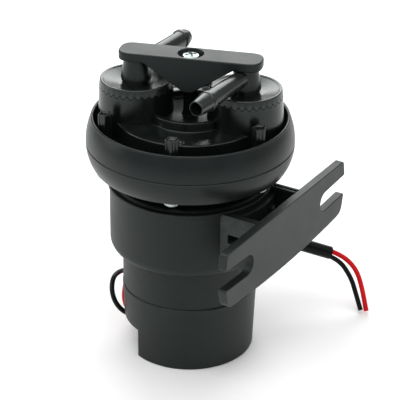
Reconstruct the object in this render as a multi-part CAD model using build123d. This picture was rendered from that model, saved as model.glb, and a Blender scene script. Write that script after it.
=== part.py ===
from build123d import *
import math
import os

os.makedirs("parts", exist_ok=True)

# An upright electric diaphragm pump with its wall bracket.  Millimetres.
# +Z is up and the origin is the middle of the flat base.  The bracket plate faces +X
# and its long direction is Y.  HEAD_TURN is the direction of the two valve cups.

# ---- driving dimensions: the body ----
BASE_RADIUS = 44.4
CAP_RIM_RADIUS = 46.4
CAP_HEIGHT = 48.0
WALL = 2.7
SEAM_CHAMFER = 0.7
EDGE_ROUND = 1.2
SPIGOT_DEPTH = 4.6
FIT_GAP = 0.15

LOWER_RADIUS = 46.0
SHOULDER_ROUND = 8.0
SHOULDER_TOP = 83.5
UPPER_RADIUS = 54.5
RIM_RADIUS = 55.6
RIM_THICKNESS = 3.2
BODY_TOP = 125.3

# The flat notch low on the end cap, where the wires come out.
NOTCH_TURN = -149.0
NOTCH_DISTANCE = 35.2
NOTCH_HEIGHT = 22.0
OUTLET_SIDE = -5.25
OUTLET_HEIGHT = 14.8
GROMMET_RADIUS = 5.4

# ---- driving dimensions: the pump head ----
HEAD_TURN = 18.7
NECK_RADIUS = 46.0
NECK_FLANGE_RADIUS = 53.0
NECK_FLANGE = 2.0
CHAMBER_FLOOR_BOTTOM = 138.6
CHAMBER_FLOOR_TOP = 141.0
RING_FOOT = 137.8
RING_FOOT_RADIUS = 65.0
RING_SEAM = 154.0
RING_RADIUS = 69.9
RING_TOP = 172.5
RING_TOP_RADIUS = 65.9
RING_INNER_RADIUS = 64.3
DECK_RADIUS = 50.0
MOAT_FLOOR = 160.0
BOSS_RADIUS = 28.0
BOSS_HEIGHT = 6.0
POST_CIRCLE = 58.8
POST_COUNT = 6
POST_TURN = 31.2
POST_TOP = 181.0
POST_FLUTES = 5
POST_FLUTE_OFFSET = 3.0
POST_FLUTE_RADIUS = 1.85
LAND_HEIGHT = 147.6
DIAPHRAGM_TOP = 150.6
CHAMBER_TOP = 164.0

CUP_OFFSET = 37.0
CUP_FOOT_RADIUS = 26.1
CUP_TOP_RADIUS = 24.7
CUP_INNER_RADIUS = 22.2
CUP_LOWER_BORE = 20.5
CUP_FLOOR = 168.0
CUP_LEDGE = 181.0
CUP_TOP = 190.0
PORT_RADIUS = 8.0
CAP_GAP = 0.3
CAP_EDGE = 195.6
CAP_EDGE_RADIUS = 23.9
PEG_TOP = 209.9
PEG_TOP_RADIUS = 7.8
PEG_BELLY_RADIUS = 10.3
PEG_FOOT_RADIUS = 9.3
PEG_BELLY = 196.1
NOZZLE_HEIGHT = 204.0
NOZZLE_LAND = 2.5
BARB_RADIUS = 6.8
ROOT_RADIUS = 5.5
NECK_DOWN = 0.7
TIP_RADIUS = 5.0
BORE_RADIUS = 3.6
MOUTH_RADIUS = 4.4
OUTLET_TURN = -89.9
OUTLET_BARB = 47.6
OUTLET_LENGTH = 63.3
INLET_TURN = 88.6
INLET_BARB = 52.6
INLET_LENGTH = 61.0

YOKE_LENGTH = 96.0
YOKE_WIDTH = 21.0
YOKE_TOP = 216.0
YOKE_UNDERSIDE = 210.0
YOKE_APEX = 192.3
WEB_REACH = 31.0
PILLAR_RADIUS = 4.8
PILLAR_TOP = 191.9

# ---- driving dimensions: the drive inside ----
MOTOR_RADIUS = 30.0
MOTOR_FOOT = 14.0
MOTOR_TOP = 72.0
FLOOR_BOTTOM = 74.0
FLOOR_TOP = 78.0
SHAFT_RADIUS = 2.5
SHAFT_TOP = 85.6
PINION_TEETH = 10
GEAR_TEETH = 42
PINION_PITCH_RADIUS = 5.5
GEAR_PITCH_RADIUS = PINION_PITCH_RADIUS * GEAR_TEETH / PINION_TEETH
TOOTH_DEPTH = 0.7
TOOTH_WIDTH = 0.85
GEAR_FACE = 3.2
CRANK_HEIGHT = 106.0
CRANK_RADIUS = 3.5
CRANK_REACH = 34.0
STROKE_OFFSET = 3.5
ECCENTRIC_RADIUS = 7.5
BEARING_RADIUS = 12.0
ROD_RING_RADIUS = 15.0
ROD_HALF_WIDTH = 3.8
ROD_TOP = 142.3

# ---- driving dimensions: the bracket ----
PLATE_FACE = 76.0
PLATE_THICKNESS = 6.0
PLATE_HALF_LENGTH = 81.5
PLATE_TOP = 124.6
PLATE_BOTTOM = 81.0
PLATE_BELLY = 3.6
PLATE_END_BULGE = 2.6
SLOT_WIDTH = 14.0
SLOT_HEIGHT = 104.8
SLOT_END = 46.0
SLOT_TILT = 3.0
ARM_THICKNESS = 5.0
NEAR_ARM = -33.0
FAR_ARM = 24.0
ARM_BOTTOM = 86.0
SADDLE_THICKNESS = 4.0
SHELF_THICKNESS = 3.0
FAR_ARM_THICKNESS = 6.0
FAR_ARM_GROOVE = 2.4
ARM_ROOT = 20.0
WINDOW_FROM = 49.0
WINDOW_TO = 57.0
WINDOW_BOTTOM = 104.0
WINDOW_TOP = 110.5

# ---- driving dimensions: the wires ----
WIRE_DIAMETER = 3.5
SLEEVE_RADIUS = 4.65
SLEEVE_BORE = 3.75
ARC_SHARE = 0.45


def place(radius, angle, height=0.0):
    """A spot given by its distance from the axis, its direction and its height."""
    turn = math.radians(angle)
    return Pos(radius * math.cos(turn), radius * math.sin(turn), height)


def turned(*outline):
    """A solid of revolution about Z from lines and arcs in (radius, height)."""
    profile = make_face(Plane.XZ * (Curve() + list(outline)))
    return revolve(profile, axis=Axis.Z)


def turned_line(*points):
    """A solid of revolution about Z from straight lines only."""
    return turned(Polyline(*points, close=True))


def disc(radius, bottom, top):
    return Pos(0, 0, bottom) * Cylinder(radius, top - bottom, align=(Align.CENTER, Align.CENTER, Align.MIN))


def tube(outer, inner, bottom, top):
    return disc(outer, bottom, top) - disc(inner, bottom, top)


def cone(bottom_radius, top_radius, bottom, top):
    return Pos(0, 0, bottom) * Cone(
        bottom_radius, top_radius, top - bottom, align=(Align.CENTER, Align.CENTER, Align.MIN)
    )


def block(x_from, x_to, y_from, y_to, z_from, z_to):
    size = (x_to - x_from, y_to - y_from, z_to - z_from)
    middle = Pos((x_from + x_to) / 2, (y_from + y_to) / 2, (z_from + z_to) / 2)
    return middle * Box(*size)


def along_y(radius, y_from, y_to, height, x=0.0):
    """A cylinder that lies along Y."""
    lying = Rot(-90, 0, 0) * Cylinder(radius, y_to - y_from, align=(Align.CENTER, Align.CENTER, Align.MIN))
    return Pos(x, y_from, height) * lying


def cross_recess(span, width, depth, top):
    """The tool of a cross-head recess, open at the top."""
    bar = block(-span / 2, span / 2, -width / 2, width / 2, top - depth, top + 1)
    return bar + Rot(0, 0, 90) * bar


def pan_screw(head_radius, head_height, shank_radius, length):
    """A pan-head screw standing with the underside of its head at zero and its head up."""
    head = disc(head_radius, 0, head_height)
    head = fillet(head.edges().group_by(Axis.Z)[-1], head_height * 0.6)
    head -= cross_recess(head_radius * 1.1, head_radius * 0.24, head_height * 0.6, head_height)
    shank = disc(shank_radius, -length, 0)
    shank = chamfer(shank.edges().group_by(Axis.Z)[0], shank_radius * 0.4)
    return head + shank


def radial(angle, height):
    """Turns a piece standing on Z so that it points away from the body axis."""
    return Pos(0, 0, height) * Rot(0, 0, angle) * Rot(0, 90, 0)


BRACKET_SCREW_RADIUS = 1.7
BRACKET_SCREW_HEAD = 3.4
BRACKET_SCREW_TURNS = (-20.0, 12.0)
BRACKET_SCREW_HEIGHTS = (95.0, 112.0)


def bracket_screw_spots():
    return [(angle, height) for angle in BRACKET_SCREW_TURNS for height in BRACKET_SCREW_HEIGHTS]


# ---- the body ----
CAP_SCREW_CIRCLE = 37.0
CAP_SCREW_TURNS = (30.0, 150.0, 270.0)
CAP_BOSS_TOP = 40.0
CAP_BOSS_RADIUS = 4.4
CAP_SCREW_RADIUS = 1.8
CAP_SCREW_HEAD = 3.4
LUG_TOP = 52.0
LUG_RADIUS = 5.2
CAP_LIP = 1.9


def notch(distance, height):
    """The block that a flat, seen from outside at NOTCH_TURN, is cut with."""
    return Rot(0, 0, NOTCH_TURN) * block(distance, distance + 40, -60, 60, -1, height)


def motor_end_cap():
    outer = cone(BASE_RADIUS, CAP_RIM_RADIUS, 0, CAP_HEIGHT) - notch(NOTCH_DISTANCE, NOTCH_HEIGHT)
    outer = fillet(outer.faces().sort_by(Axis.Z)[0].edges(), EDGE_ROUND)
    outer = chamfer(outer.faces().sort_by(Axis.Z)[-1].edges(), SEAM_CHAMFER)
    inner = cone(BASE_RADIUS - WALL, CAP_RIM_RADIUS - WALL, WALL, CAP_HEIGHT + 1)
    inner -= notch(NOTCH_DISTANCE - WALL, NOTCH_HEIGHT + WALL)
    shell = outer - inner
    for angle in CAP_SCREW_TURNS:
        spot = place(CAP_SCREW_CIRCLE, angle)
        shell += spot * disc(CAP_BOSS_RADIUS, WALL, CAP_BOSS_TOP)
    shell -= disc(LOWER_RADIUS - CAP_LIP, CAP_HEIGHT - SPIGOT_DEPTH, CAP_HEIGHT + 1)
    for angle in CAP_SCREW_TURNS:
        spot = place(CAP_SCREW_CIRCLE, angle)
        shell -= spot * disc(CAP_SCREW_RADIUS + 0.3, -1, CAP_BOSS_TOP + 1)
        shell -= spot * disc(CAP_SCREW_HEAD + 0.4, -1, 3.4)
    hole = Rot(0, 0, NOTCH_TURN) * Pos(NOTCH_DISTANCE, OUTLET_SIDE, OUTLET_HEIGHT)
    shell -= hole * Rot(0, 90, 0) * Cylinder(GROMMET_RADIUS, 12)
    shell -= disc(16, -1, 0.8) - disc(14.5, -1, 0.8)
    return shell


def end_cap_screws():
    screws = []
    for angle in CAP_SCREW_TURNS:
        upright = Rot(180, 0, 0) * pan_screw(CAP_SCREW_HEAD, 2.4, CAP_SCREW_RADIUS, 44)
        screws.append(place(CAP_SCREW_CIRCLE, angle, 3.4) * upright)
    return screws


def body_outline(inset, bottom, top):
    """The stepped wall of the gear housing, moved inwards by inset, as a full solid."""
    centre_radius = UPPER_RADIUS - SHOULDER_ROUND
    arc_radius = SHOULDER_ROUND - inset
    lower = LOWER_RADIUS - inset
    foot = SHOULDER_TOP - arc_radius
    return turned(
        Line((0, bottom), (lower, bottom)),
        Line((lower, bottom), (lower, foot)),
        Line((lower, foot), (centre_radius, foot)),
        CenterArc((centre_radius, SHOULDER_TOP), arc_radius, -90, 90),
        Line((UPPER_RADIUS - inset, SHOULDER_TOP), (UPPER_RADIUS - inset, top)),
        Line((UPPER_RADIUS - inset, top), (0, top)),
        Line((0, top), (0, bottom)),
    )


MOTOR_SCREW_SPAN = 19.0
BOSS_INNER_FACE = 26.0
BOSS_OUTER_RADIUS = 8.5
BUSH_RADIUS = 5.6
BUSH_LENGTH = 9.0
BODY_SPIGOT_INNER = 41.6
MOTOR_BOSS_HOLE = 9.2
MOTOR_SCREW_HOLE = 2.2


def gear_housing():
    outer = body_outline(0, CAP_HEIGHT, BODY_TOP)
    outer = chamfer(outer.faces().sort_by(Axis.Z)[0].edges(), SEAM_CHAMFER)
    rim = disc(RIM_RADIUS, BODY_TOP - RIM_THICKNESS, BODY_TOP)
    rim = fillet(rim.edges().group_by(Axis.Z)[-1], 0.8)
    rim = chamfer(rim.edges().group_by(Axis.Z)[0], 0.8)
    shell = outer + rim - body_outline(WALL, CAP_HEIGHT - 1, BODY_TOP + 1)
    shell += disc(LOWER_RADIUS + 6, FLOOR_BOTTOM, FLOOR_TOP) & body_outline(1, CAP_HEIGHT, BODY_TOP)
    spigot = tube(LOWER_RADIUS - CAP_LIP - FIT_GAP, BODY_SPIGOT_INNER, CAP_HEIGHT - SPIGOT_DEPTH + FIT_GAP, LUG_TOP)
    shell += spotted_lugs(spigot)
    for side in (-1, 1):
        boss = along_y(BOSS_OUTER_RADIUS, BOSS_INNER_FACE, UPPER_RADIUS - 1.5, CRANK_HEIGHT)
        rib = block(-2, 2, BOSS_INNER_FACE + 2, UPPER_RADIUS - 2, FLOOR_TOP - 1, CRANK_HEIGHT)
        bore = along_y(BUSH_RADIUS, BOSS_INNER_FACE - 1, BOSS_INNER_FACE + BUSH_LENGTH, CRANK_HEIGHT)
        turn = Rot(0, 0, 0 if side > 0 else 180)
        shell += turn * (boss + rib)
        shell -= turn * bore
    shell -= disc(MOTOR_BOSS_HOLE, FLOOR_BOTTOM - 1, FLOOR_TOP + 1)
    for side in (-1, 1):
        shell -= Pos(0, side * MOTOR_SCREW_SPAN, 0) * disc(MOTOR_SCREW_HOLE, FLOOR_BOTTOM - 1, FLOOR_TOP + 1)
    for angle, height in bracket_screw_spots():
        shell -= radial(angle, height) * disc(BRACKET_SCREW_RADIUS, 40, 60)
    return shell


def spotted_lugs(spigot):
    """The spigot with the three lugs that the end cap screws bite into."""
    ring = spigot
    for angle in CAP_SCREW_TURNS:
        ring += place(CAP_SCREW_CIRCLE, angle) * disc(LUG_RADIUS, CAP_BOSS_TOP + FIT_GAP, LUG_TOP)
    for angle in CAP_SCREW_TURNS:
        ring -= place(CAP_SCREW_CIRCLE, angle) * disc(CAP_SCREW_RADIUS, CAP_BOSS_TOP - 1, LUG_TOP - 3)
    return ring


def wire_grommet():
    flange = disc(GROMMET_RADIUS + 1.6, 0, 1.8)
    flange = fillet(flange.edges().group_by(Axis.Z)[-1], 0.7)
    neck = disc(GROMMET_RADIUS, -WALL, 0)
    lip = disc(GROMMET_RADIUS + 1.2, -WALL - 1.6, -WALL)
    body = flange + neck + lip
    for side in (-1, 1):
        body -= Pos(0, side * 2.25, 0) * disc(WIRE_DIAMETER / 2 + 0.1, -10, 10)
    outward = Rot(0, 0, NOTCH_TURN) * Pos(NOTCH_DISTANCE, OUTLET_SIDE, OUTLET_HEIGHT) * Rot(0, 90, 0)
    return outward * body


# ---- the motor ----
MAGNET_RADIUS = 27.3
CORE_RADIUS = 22.5
CORE_BOTTOM = 30.0
CORE_TOP = 56.0
CORE_SLOTS = 7
COMMUTATOR_RADIUS = 7.5
BRUSH_HEIGHT = 20.5


def motor_can():
    can = tube(MOTOR_RADIUS, MOTOR_RADIUS - 1.6, MOTOR_FOOT, MOTOR_TOP)
    end = disc(MOTOR_RADIUS, MOTOR_TOP - 1.6, MOTOR_TOP)
    end = fillet(end.edges().group_by(Axis.Z)[-1], 1.2)
    boss = disc(9, MOTOR_TOP - 1.6, FLOOR_TOP - 1)
    can = can - disc(MOTOR_RADIUS + 1, MOTOR_TOP - 1.6, MOTOR_TOP) + end + boss
    for side in (-1, 1):
        can += Pos(0, side * MOTOR_SCREW_SPAN, 0) * disc(4.5, MOTOR_TOP - 1.6, FLOOR_BOTTOM)
        can -= Pos(0, side * MOTOR_SCREW_SPAN, 0) * disc(1.8, MOTOR_TOP - 6, FLOOR_TOP)
    return can - disc(5.5, MOTOR_TOP - 5, FLOOR_TOP)


def motor_magnets():
    sleeve = tube(MAGNET_RADIUS + 1, MAGNET_RADIUS - 3, CORE_BOTTOM - 3, CORE_TOP + 3)
    gap = block(-40, 40, -9, 9, 0, MOTOR_TOP)
    return (sleeve - gap).solids()


def motor_end_plate():
    plate = disc(MOTOR_RADIUS, MOTOR_FOOT - 5, MOTOR_FOOT) + disc(MOTOR_RADIUS - 1.7, MOTOR_FOOT, MOTOR_FOOT + 2)
    plate += disc(8.5, MOTOR_FOOT - 9, MOTOR_FOOT - 5)
    plate -= disc(5.5, MOTOR_FOOT - 9, MOTOR_FOOT - 2)
    return plate - disc(SHAFT_RADIUS + 0.6, MOTOR_FOOT - 3, MOTOR_FOOT + 3)


def motor_bushes():
    bore = SHAFT_RADIUS + 0.05
    rear = tube(5.5, bore, MOTOR_FOOT - 8, MOTOR_FOOT - 2)
    front = tube(5.5, bore, MOTOR_TOP - 1.6, FLOOR_TOP - 1)
    return [rear, front]


def motor_screws():
    screws = []
    for side in (-1, 1):
        screws.append(Pos(0, side * MOTOR_SCREW_SPAN, FLOOR_TOP) * pan_screw(3.6, 2.4, 1.8, 9.5))
    return screws


def rotor_shaft():
    return chamfer(disc(SHAFT_RADIUS, MOTOR_FOOT - 7, SHAFT_TOP).edges(), 0.4)


def armature_core():
    core = tube(CORE_RADIUS, SHAFT_RADIUS, CORE_BOTTOM, CORE_TOP)
    for index in range(CORE_SLOTS):
        turn = Rot(0, 0, 360 / CORE_SLOTS * index)
        core -= turn * block(18.5, CORE_RADIUS + 1, -1.2, 1.2, 0, MOTOR_TOP)
        core -= turn * Pos(14.5, 0, 0) * disc(4.2, 0, MOTOR_TOP)
    return core


def armature_windings():
    coils = tube(20, 9, CORE_TOP, CORE_TOP + 6) + tube(20, 9, CORE_BOTTOM - 5, CORE_BOTTOM)
    coils = fillet(coils.edges().filter_by(GeomType.CIRCLE), 1.8)
    for index in range(CORE_SLOTS):
        coils += Rot(0, 0, 360 / CORE_SLOTS * index) * Pos(14.5, 0, 0) * disc(3.9, CORE_BOTTOM - 1, CORE_TOP + 1)
    return coils


def commutator():
    drum = tube(COMMUTATOR_RADIUS, SHAFT_RADIUS, MOTOR_FOOT + 3.4, CORE_BOTTOM - 5.4)
    for index in range(CORE_SLOTS):
        turn = Rot(0, 0, 360 / CORE_SLOTS * index)
        drum -= turn * block(COMMUTATOR_RADIUS - 0.8, COMMUTATOR_RADIUS + 1, -0.3, 0.3, 0, MOTOR_TOP)
    return drum


def brush_holders():
    holders = []
    for side in (0, 180):
        sleeve = block(9.5, 24, -4, 4, MOTOR_FOOT + 2, BRUSH_HEIGHT + 3.4)
        sleeve -= block(9, 22.5, -2.6, 2.6, BRUSH_HEIGHT - 2.1, BRUSH_HEIGHT + 2.1)
        holders.append(Rot(0, 0, side) * sleeve)
    return holders


def motor_brushes():
    brushes = []
    for side in (0, 180):
        brush = block(COMMUTATOR_RADIUS + 0.1, 15, -2.4, 2.4, BRUSH_HEIGHT - 1.9, BRUSH_HEIGHT + 1.9)
        brushes.append(Rot(0, 0, side) * brush)
    return brushes


def brush_springs():
    springs = []
    for side in (0, 180):
        path = Helix(pitch=1.8, height=7.0, radius=1.4)
        wire = sweep(Plane(path @ 0, z_dir=path % 0) * Circle(0.25), path=path, is_frenet=True)
        springs.append(Rot(0, 0, side) * Pos(15.3, 0, BRUSH_HEIGHT) * Rot(0, 90, 0) * wire)
    return springs


# ---- the gear, the crank and the connecting rod ----
PINION_BOTTOM = CRANK_HEIGHT - GEAR_PITCH_RADIUS - GEAR_FACE / 2 - 0.9
PINION_TIP = PINION_PITCH_RADIUS + TOOTH_DEPTH
GEAR_TIP_FACE = PINION_PITCH_RADIUS - 0.35
GEAR_WEB_FACE = 7.4


def motor_pinion():
    root = PINION_PITCH_RADIUS - 1.1
    wheel = tube(root, SHAFT_RADIUS, PINION_BOTTOM, SHAFT_TOP)
    for index in range(PINION_TEETH):
        tooth = block(root - 0.6, PINION_TIP, -TOOTH_WIDTH / 2, TOOTH_WIDTH / 2, PINION_BOTTOM, SHAFT_TOP)
        wheel += Rot(0, 0, 90 + 360 / PINION_TEETH * index) * tooth
    return wheel


def crank_gear():
    """A face gear on the crankshaft; its teeth point at the pinion."""
    web = along_y(GEAR_PITCH_RADIUS + GEAR_FACE / 2 + 0.6, GEAR_WEB_FACE, 11.4, 0)
    web += along_y(8, GEAR_WEB_FACE, 20, 0)
    inner = GEAR_PITCH_RADIUS - GEAR_FACE / 2
    for index in range(GEAR_TEETH):
        angle = 90 + 360 / GEAR_TEETH * (index + 0.5)
        half = TOOTH_WIDTH / 2
        tooth = block(inner, inner + GEAR_FACE, GEAR_TIP_FACE, GEAR_WEB_FACE + 0.5, -half, half)
        web += Rot(0, angle, 0) * tooth
    for index in range(5):
        web -= Rot(0, 72 * index, 0) * Pos(14.2, 0, 0) * along_y(3.4, 5, 12, 0)
    web -= along_y(CRANK_RADIUS, 0, 30, 0)
    return Pos(0, 0, CRANK_HEIGHT) * web


def crankshaft():
    return chamfer(along_y(CRANK_RADIUS, -CRANK_REACH, CRANK_REACH, CRANK_HEIGHT).edges(), 0.5)


def crank_bushes():
    bushes = []
    for side in (0, 180):
        sleeve = along_y(BUSH_RADIUS, BOSS_INNER_FACE, BOSS_INNER_FACE + BUSH_LENGTH, CRANK_HEIGHT)
        sleeve -= along_y(CRANK_RADIUS + 0.05, 0, 60, CRANK_HEIGHT)
        bushes.append(Rot(0, 0, side) * sleeve)
    return bushes


def eccentric():
    wheel = along_y(ECCENTRIC_RADIUS, -ROD_HALF_WIDTH, ROD_HALF_WIDTH, CRANK_HEIGHT, STROKE_OFFSET)
    wheel += along_y(7.0, -9, -ROD_HALF_WIDTH, CRANK_HEIGHT)
    return wheel - along_y(CRANK_RADIUS, -60, 60, CRANK_HEIGHT)


def rod_bearing_race(outer, inner):
    race = along_y(outer, -2.6, 2.6, CRANK_HEIGHT, STROKE_OFFSET)
    return race - along_y(inner, -4, 4, CRANK_HEIGHT, STROKE_OFFSET)


def rod_bearing_inner():
    return rod_bearing_race(ECCENTRIC_RADIUS + 1.3, ECCENTRIC_RADIUS)


def rod_bearing_outer():
    return rod_bearing_race(BEARING_RADIUS, BEARING_RADIUS - 1.4)


def rod_bearing_balls():
    balls = []
    middle = (ECCENTRIC_RADIUS + 1.3 + BEARING_RADIUS - 1.4) / 2
    for index in range(11):
        ball = Pos(middle, 0, 0) * Sphere(0.87)
        balls.append(Pos(STROKE_OFFSET, 0, CRANK_HEIGHT) * Rot(0, 360 / 11 * index, 0) * ball)
    return balls


def connecting_rod():
    half = ROD_HALF_WIDTH
    ring = along_y(ROD_RING_RADIUS, -half, half, CRANK_HEIGHT, STROKE_OFFSET)
    shank = block(STROKE_OFFSET - 5, STROKE_OFFSET + 5, -half, half, CRANK_HEIGHT + 10, ROD_TOP - 2)
    head = Pos(STROKE_OFFSET, 0, 0) * disc(8.0, ROD_TOP - 3.5, ROD_TOP)
    rod = ring + shank + head
    rod -= along_y(BEARING_RADIUS, -10, 10, CRANK_HEIGHT, STROKE_OFFSET)
    return rod


# ---- the pump head ----
def post_turns():
    return [HEAD_TURN + POST_TURN + 360 / POST_COUNT * index for index in range(POST_COUNT)]


FLANGE_RADIUS = 66.4
SPIGOT_WALL = 3.0
SPIGOT_REACH = 6.0
ROD_HOLE_RADIUS = 17.0
LAND_INNER_RADIUS = 49.5
LIP_INNER_RADIUS = 66.6
RING_SCREW_RADIUS = 2.3
RING_SCREW_HEAD = 6.2
RING_SCREW_HEAD_HEIGHT = 3.2


def pump_base():
    """The lower half of the ring with its neck and the floor under the diaphragm."""
    bulge = ThreePointArc(
        (RING_FOOT_RADIUS, RING_FOOT), (RING_RADIUS - 1.3, RING_FOOT + 7.6), (RING_RADIUS, RING_SEAM)
    )
    spigot_outer = UPPER_RADIUS - WALL - FIT_GAP
    spigot_inner = spigot_outer - SPIGOT_WALL
    neck_inner = NECK_RADIUS - WALL
    body = turned(
        Polyline(
            (ROD_HOLE_RADIUS, CHAMBER_FLOOR_BOTTOM),
            (neck_inner, CHAMBER_FLOOR_BOTTOM),
            (neck_inner, BODY_TOP),
            (spigot_inner, BODY_TOP),
            (spigot_inner, BODY_TOP - SPIGOT_REACH),
            (spigot_outer, BODY_TOP - SPIGOT_REACH),
            (spigot_outer, BODY_TOP),
            (NECK_FLANGE_RADIUS, BODY_TOP),
            (NECK_FLANGE_RADIUS, BODY_TOP + NECK_FLANGE / 2),
            (NECK_FLANGE_RADIUS - 1, BODY_TOP + NECK_FLANGE),
            (NECK_RADIUS, BODY_TOP + NECK_FLANGE),
            (NECK_RADIUS, RING_FOOT),
            (RING_FOOT_RADIUS, RING_FOOT),
        ),
        bulge,
        Polyline(
            (RING_RADIUS, RING_SEAM),
            (LIP_INNER_RADIUS, RING_SEAM),
            (LIP_INNER_RADIUS, LAND_HEIGHT),
            (LAND_INNER_RADIUS, LAND_HEIGHT),
            (LAND_INNER_RADIUS - 3.5, CHAMBER_FLOOR_TOP),
            (ROD_HOLE_RADIUS, CHAMBER_FLOOR_TOP),
            (ROD_HOLE_RADIUS, CHAMBER_FLOOR_BOTTOM),
        ),
    )
    body = chamfer(body.edges().filter_by(GeomType.CIRCLE).group_by(SortBy.RADIUS)[-1], SEAM_CHAMFER * 0.7)
    for angle in post_turns():
        body -= place(POST_CIRCLE, angle) * disc(RING_SCREW_RADIUS + 0.3, 130, 150)
    return body


def ring_screws():
    screws = []
    for angle in post_turns():
        upside = Rot(180, 0, 0) * pan_screw(RING_SCREW_HEAD, RING_SCREW_HEAD_HEIGHT, RING_SCREW_RADIUS, 36)
        screws.append(place(POST_CIRCLE, angle, RING_FOOT) * upside)
    return screws


def cover_ring():
    """The upper half of the ring, a rounded band round the head."""
    bulge = ThreePointArc(
        (RING_RADIUS, RING_SEAM), (RING_RADIUS - 1.0, RING_SEAM + 10), (RING_TOP_RADIUS + 0.5, RING_TOP - 1.2)
    )
    brim = ThreePointArc(
        (RING_TOP_RADIUS + 0.5, RING_TOP - 1.2),
        (RING_TOP_RADIUS - 0.1, RING_TOP),
        (RING_INNER_RADIUS, RING_TOP - 0.6),
    )
    band = turned(
        bulge,
        brim,
        Polyline(
            (RING_INNER_RADIUS, RING_TOP - 0.6),
            (RING_INNER_RADIUS, RING_SEAM),
            (RING_RADIUS, RING_SEAM),
        ),
    )
    return chamfer(band.edges().filter_by(GeomType.CIRCLE).group_by(SortBy.RADIUS)[-1], SEAM_CHAMFER)


def fluted_post():
    outline = Circle(3.9)
    for index in range(POST_FLUTES):
        outline += Rot(0, 0, 360 * index / POST_FLUTES) * Pos(POST_FLUTE_OFFSET, 0) * Circle(POST_FLUTE_RADIUS)
    post = extrude(Pos(0, 0, MOAT_FLOOR - 2) * outline, POST_TOP - MOAT_FLOOR + 2)
    return chamfer(post.edges().group_by(Axis.Z)[-1], 0.4)


def cup_spot(side):
    """The middle of a cup: side +1 is the outlet, -1 the inlet."""
    return Rot(0, 0, HEAD_TURN) * Pos(side * CUP_OFFSET, 0, 0)


def valve_deck():
    """The top moulding: the chamber roof, two valve cups, screw posts and the centre pillar."""
    body = turned_line(
        (0, CHAMBER_TOP),
        (32, CHAMBER_TOP),
        (45, 157),
        (49.5, DIAPHRAGM_TOP),
        (FLANGE_RADIUS, DIAPHRAGM_TOP),
        (FLANGE_RADIUS, RING_SEAM),
        (RING_INNER_RADIUS - 0.2, RING_SEAM),
        (RING_INNER_RADIUS - 0.2, MOAT_FLOOR),
        (DECK_RADIUS + 0.6, MOAT_FLOOR),
        (DECK_RADIUS, RING_TOP - 1.0),
        (DECK_RADIUS - 1.0, RING_TOP),
        (BOSS_RADIUS, RING_TOP),
        (BOSS_RADIUS - 0.8, RING_TOP + BOSS_HEIGHT - 1.6),
        (BOSS_RADIUS - 3.0, RING_TOP + BOSS_HEIGHT),
        (0, RING_TOP + BOSS_HEIGHT),
    )
    for side in (-1, 1):
        body += cup_spot(side) * cone(CUP_FOOT_RADIUS, CUP_TOP_RADIUS, MOAT_FLOOR - 1, CUP_TOP)
    body += disc(PILLAR_RADIUS, RING_TOP, PILLAR_TOP)
    for angle in post_turns():
        body += place(POST_CIRCLE, angle) * Rot(0, 0, angle) * fluted_post()
    for side in (-1, 1):
        body -= cup_spot(side) * disc(CUP_LOWER_BORE, CUP_FLOOR, CUP_TOP + 1)
        body -= cup_spot(side) * disc(CUP_INNER_RADIUS, CUP_LEDGE, CUP_TOP + 1)
        body -= cup_spot(side) * disc(PORT_RADIUS, CHAMBER_TOP - 8, CUP_FLOOR + 1)
    for angle in post_turns():
        body -= place(POST_CIRCLE, angle) * disc(RING_SCREW_RADIUS, DIAPHRAGM_TOP - 1, POST_TOP - 6)
    body -= disc(3.3, RING_TOP + 6, PILLAR_TOP + 1)
    return body


def pillar_insert():
    return tube(3.3, 2.4, RING_TOP + 6, PILLAR_TOP)


PLATE_REACH = 26.0
DIAPHRAGM_THICKNESS = 2.4


def diaphragm():
    """A moulded rubber disc with one rolled fold between its clamped rim and centre."""
    top = DIAPHRAGM_TOP
    under = top - DIAPHRAGM_THICKNESS
    middle = 39.0
    half = 9.0
    fold = 3.6
    return turned(
        Line((3, top), (middle - half, top)),
        ThreePointArc((middle - half, top), (middle, top + fold), (middle + half, top)),
        Line((middle + half, top), (55.4, top)),
        Line((55.4, top), (55.4, LAND_HEIGHT)),
        Line((55.4, LAND_HEIGHT), (50.5, LAND_HEIGHT)),
        Line((50.5, LAND_HEIGHT), (middle + half - 1.8, under)),
        ThreePointArc((middle + half - 1.8, under), (middle, top + fold - 1.8), (middle - half + 1.8, under)),
        Line((middle - half + 1.8, under), (3, under)),
        Line((3, under), (3, top)),
    )


def lower_plate():
    under = DIAPHRAGM_TOP - DIAPHRAGM_THICKNESS
    plate = turned_line(
        (2.6, under - 1.7),
        (13, under - 1.7),
        (14, under - 3.2),
        (PLATE_REACH - 3, under - 3.2),
        (PLATE_REACH, under - 1.5),
        (PLATE_REACH, under),
        (2.6, under),
    )
    return plate


def upper_plate():
    top = DIAPHRAGM_TOP
    return turned_line((2.6, top), (PLATE_REACH, top), (PLATE_REACH - 3, top + 2.6), (2.6, top + 3.4))


def diaphragm_screw():
    return Pos(0, 0, DIAPHRAGM_TOP + 3.4) * pan_screw(6.0, 3.0, 2.6, 3.4 + DIAPHRAGM_THICKNESS + 1.7)


# ---- the valves in the cups ----
SEAT_THICKNESS = 3.0
FLAP_RADIUS = 10.5
FLAP_THICKNESS = 1.6
HINGE_REACH = 11.5
FLAP_GAP = 0.2


def valve_seat(outer_radius, bottom):
    seat = tube(outer_radius, PORT_RADIUS, bottom, bottom + SEAT_THICKNESS)
    return chamfer(seat.edges().group_by(Axis.Z)[-1], 0.4)


def outlet_seat():
    return cup_spot(1) * valve_seat(CUP_LOWER_BORE - FIT_GAP, CUP_FLOOR)


def inlet_seat():
    return cup_spot(-1) * valve_seat(CUP_INNER_RADIUS - FIT_GAP, CUP_LEDGE)


def flap(bottom):
    """A round flap with a straight hinge edge towards +X of its cup."""
    plate = disc(FLAP_RADIUS, bottom, bottom + FLAP_THICKNESS)
    tab = block(0, HINGE_REACH, -6, 6, bottom, bottom + FLAP_THICKNESS)
    return plate + tab


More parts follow.
